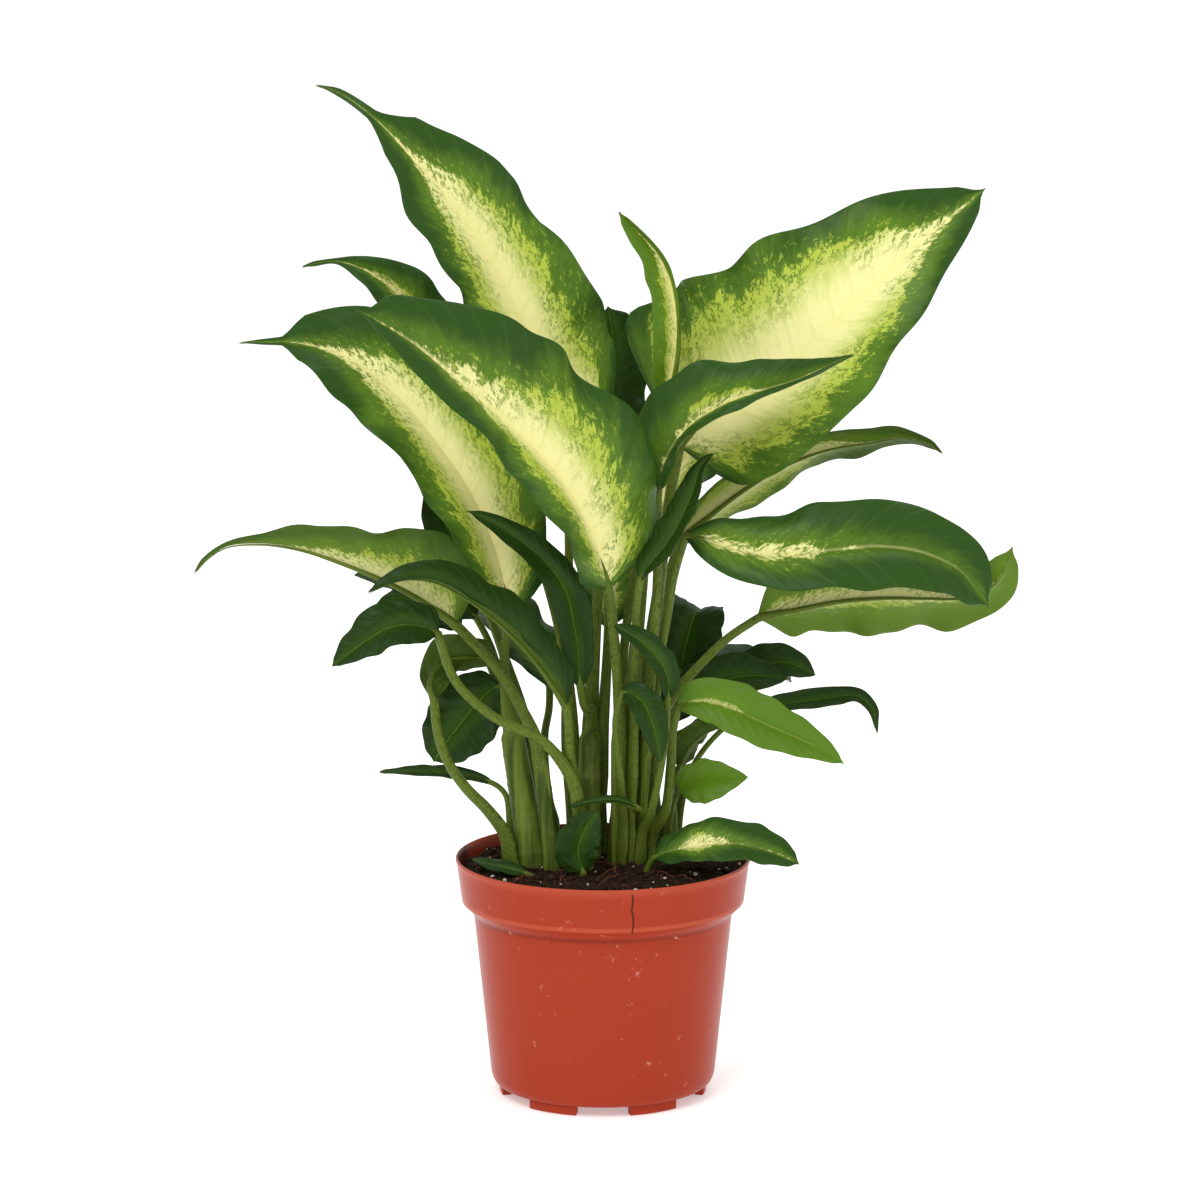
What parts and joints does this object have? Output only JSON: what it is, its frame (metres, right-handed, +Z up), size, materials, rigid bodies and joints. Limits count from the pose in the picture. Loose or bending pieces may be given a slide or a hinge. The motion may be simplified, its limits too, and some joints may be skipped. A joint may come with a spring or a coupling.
{
  "type": "potted dieffenbachia",
  "caption": "Young potted dieffenbachia: broad pointed leaves with cream centres and green edges on sheathed stems, in a tapering terracotta-coloured nursery pot.",
  "frame": {"origin": "on the pot's axis, level with the flat bottoms of its feet", "axes": "+Z up along the pot's axis, -Y towards the fullest side of the plant, +X to its right seen from there"},
  "size_m": [0.3323, 0.2004, 0.4132],
  "materials": {
    "pot_plastic": "thin moulded nursery-pot plastic, satin",
    "potting_soil": null,
    "stem_skin": null,
    "leaf_skin": null
  },
  "bodies": {
    "root": {"leaf_back_brown": "leaf_skin", "leaf_back_dark": "leaf_skin", "leaf_back_left": "leaf_skin", "leaf_back_round": "leaf_skin", "leaf_back_top": "leaf_skin", "leaf_centre_arch": "leaf_skin", "leaf_centre_droop": "leaf_skin", "leaf_centre_spear": "leaf_skin", "leaf_front_centre": "leaf_skin", "leaf_left_arch": "leaf_skin", "leaf_left_big": "leaf_skin", "leaf_left_broad": "leaf_skin", "leaf_left_brown": "leaf_skin", "leaf_left_dark": "leaf_skin", "leaf_left_folded": "leaf_skin", "leaf_left_grey": "leaf_skin", "leaf_left_hidden": "leaf_skin", "leaf_left_level": "leaf_skin", "leaf_left_spiky": "leaf_skin", "leaf_low_thin": "leaf_skin", "leaf_low_upright": "leaf_skin", "leaf_rear_left": "leaf_skin", "leaf_rear_low": "leaf_skin", "leaf_rear_middle": "leaf_skin", "leaf_rear_right": "leaf_skin", "leaf_rear_tall": "leaf_skin", "leaf_right_back": "leaf_skin", "leaf_right_bright": "leaf_skin", "leaf_right_curled": "leaf_skin", "leaf_right_level": "leaf_skin", "leaf_right_narrow": "leaf_skin", "leaf_right_olive": "leaf_skin", "leaf_right_rim": "leaf_skin", "leaf_right_small": "leaf_skin", "leaf_right_tail": "leaf_skin", "leaf_right_under": "leaf_skin", "leaf_soil_left": "leaf_skin", "leaf_top_left": "leaf_skin", "leaf_upper_right": "leaf_skin", "leaf_young_spear": "leaf_skin", "pot": "pot_plastic", "soil": "potting_soil", "stem_left": "stem_skin", "stem_left_back": "stem_skin", "stem_middle_back": "stem_skin", "stem_middle_front": "stem_skin", "stem_right": "stem_skin", "stem_right_back": "stem_skin"}
  },
  "joints": []
}
